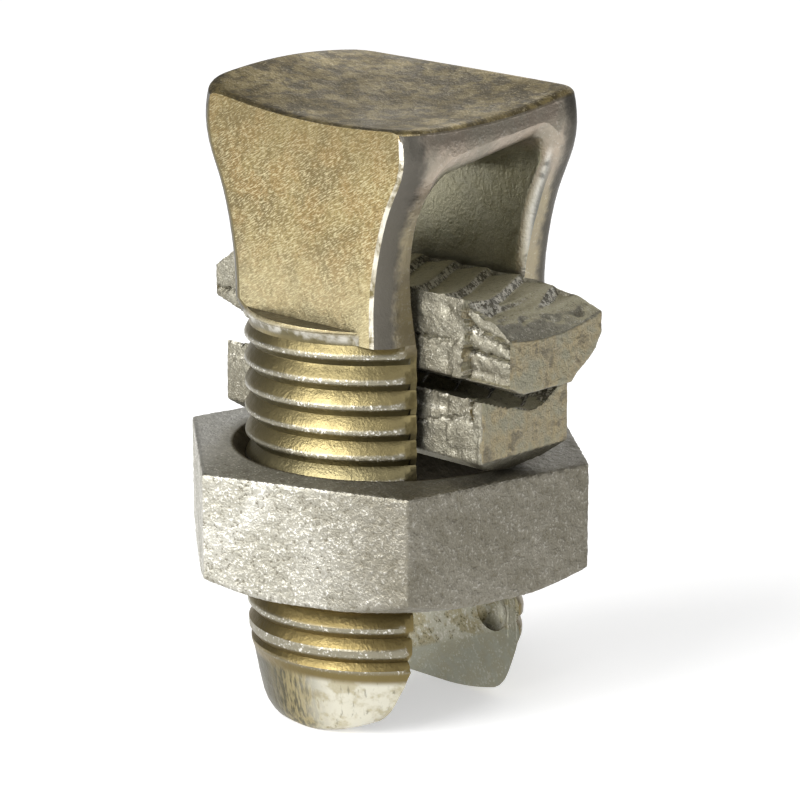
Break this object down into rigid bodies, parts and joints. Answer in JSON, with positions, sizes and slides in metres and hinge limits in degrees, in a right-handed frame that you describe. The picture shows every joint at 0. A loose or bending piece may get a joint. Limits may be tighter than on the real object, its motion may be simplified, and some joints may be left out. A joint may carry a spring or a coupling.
{
  "type": "split bolt connector",
  "caption": "Slotted bolt with a flared crown and threaded legs, a hex nut, and serrated pressure and spacer bars that clamp bare wires together in the slot.",
  "frame": {"origin": "on the bolt's axis, in the plane of the leg ends", "axes": "+Z along the bolt's axis from the leg ends to the crown, X along the wire slot, Y across it through both legs"},
  "size_m": [0.0218, 0.0216, 0.033],
  "materials": {
    "bolt_tin": "tinned copper alloy, gold-tarnished, satin with ground flats",
    "nut_tin": "tinned copper alloy, grainy as cast, dull silver",
    "bar_tin": "tinned copper alloy, sheared and serrated, dull grey"
  },
  "bodies": {
    "bolt": {"split_bolt": "bolt_tin"},
    "pressure": {"pressure_bar": "bar_tin"},
    "nut": {"hex_nut": "nut_tin"},
    "spacer": {"spacer_bar": "bar_tin"}
  },
  "joints": [
    {"name": "pressure_slide", "type": "slide", "parent": "bolt", "child": "pressure", "axis": [0, 0, 1], "range_m": [-0.0031, 0.0031]},
    {"name": "nut_turn", "type": "hinge", "parent": "pressure", "child": "nut", "pos_m": [0, 0, 0.011], "axis": [0, 0, 1], "range_deg": [-900, 900]},
    {"name": "spacer_slide", "type": "slide", "parent": "pressure", "child": "spacer", "axis": [0, 0, 1], "range_m": [0, 0.002]}
  ],
  "couplings": [
    {"joint": "nut_turn", "follows": "pressure_slide", "rad_per_m": 4947.4}
  ]
}
